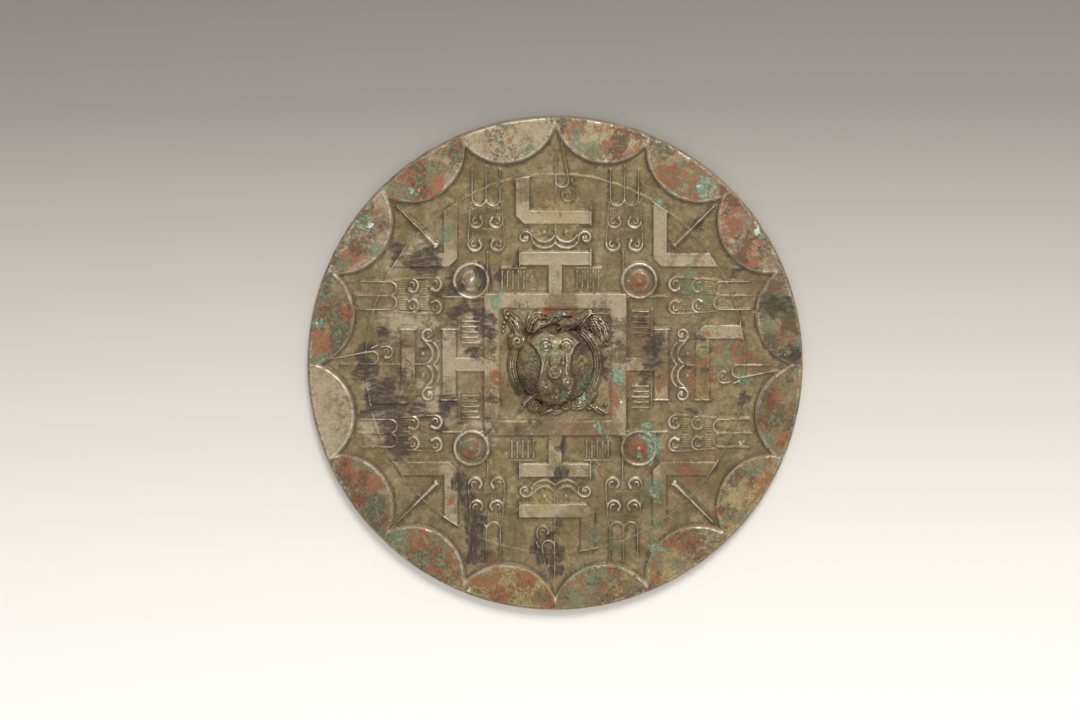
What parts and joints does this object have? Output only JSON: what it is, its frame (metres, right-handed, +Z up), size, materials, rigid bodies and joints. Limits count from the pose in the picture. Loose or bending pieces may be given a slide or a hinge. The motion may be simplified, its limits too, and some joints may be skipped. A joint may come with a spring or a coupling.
{
  "type": "bronze mirror",
  "caption": "Round cast bronze mirror lying face down, its back with a lobed rim, a squared relief field and a pierced beast-shaped knob.",
  "frame": {"origin": "centre of the polished underside, on the surface that the mirror lies on", "axes": "+Z up out of the decorated back, +Y towards the top of the back's design, +X to its right"},
  "size_m": [0.23, 0.23, 0.0193],
  "materials": {
    "bronze": "cast tin bronze with an olive-brown patina, bare worn bands, green and red corrosion crusts"
  },
  "bodies": {
    "root": {"bronze_mirror": "bronze"}
  },
  "joints": []
}
